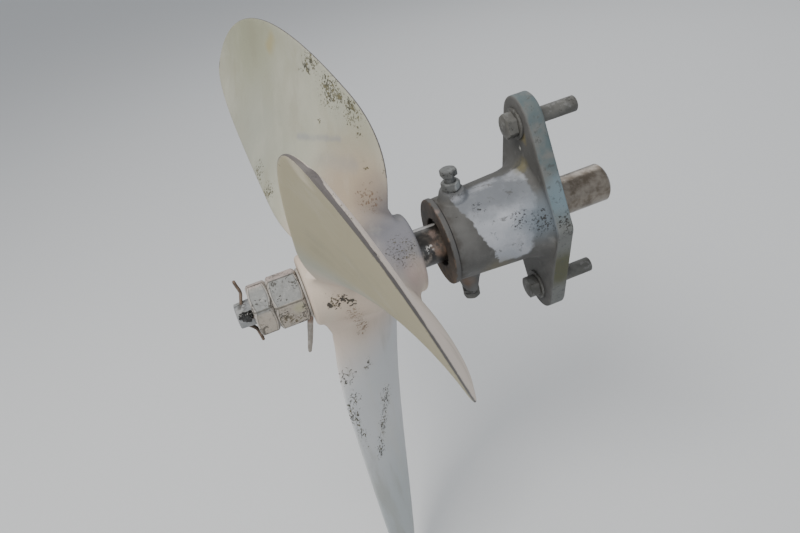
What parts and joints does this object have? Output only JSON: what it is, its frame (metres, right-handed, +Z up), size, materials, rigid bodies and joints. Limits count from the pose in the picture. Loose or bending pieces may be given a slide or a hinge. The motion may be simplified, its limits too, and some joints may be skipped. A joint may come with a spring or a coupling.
{
  "type": "ship propeller",
  "caption": "Right-handed ship propeller with broad, swept blades on its shaft end, turning in a stern bearing with a two-bolt flange.",
  "frame": {"origin": "on the flat back face of the bearing housing's flange, on the metal straight below the bore, 55 mm below the shaft's axis", "axes": "+X forward along the shaft and out of the flange's back face, +Y to port, +Z up"},
  "size_m": [0.347, 0.6039, 0.565],
  "materials": {
    "propeller_coat": "worn matte",
    "housing_coat": "worn matte",
    "fastener_coat": "worn matte",
    "stained_bronze": "stained",
    "stained_steel": "stained",
    "liner_rubber": "matte"
  },
  "bodies": {
    "stern_bearing": {"bearing_housing": "housing_coat", "bearing_sleeve": "stained_bronze", "rubber_liner": "liner_rubber", "upper_set_screw": "fastener_coat", "upper_lock_nut": "fastener_coat", "lower_set_screw": "fastener_coat", "lower_lock_nut": "fastener_coat", "upper_flange_bolt": "fastener_coat", "upper_flange_washer": "fastener_coat", "lower_flange_bolt": "fastener_coat", "lower_flange_washer": "fastener_coat"},
    "shaft_and_propeller": {"propeller_shaft": "stained_steel", "shaft_key": "stained_steel", "propeller_hub": "propeller_coat", "blade_1": "propeller_coat", "blade_2": "propeller_coat", "blade_3": "propeller_coat", "tab_washer": "stained_steel", "propeller_nut": "fastener_coat", "lock_nut": "fastener_coat", "split_pin": "stained_steel"}
  },
  "joints": [
    {"name": "shaft_spin", "type": "hinge", "parent": "stern_bearing", "child": "shaft_and_propeller", "pos_m": [-0.177, 0, 0.055], "axis": [1, 0, 0], "continuous": true}
  ]
}
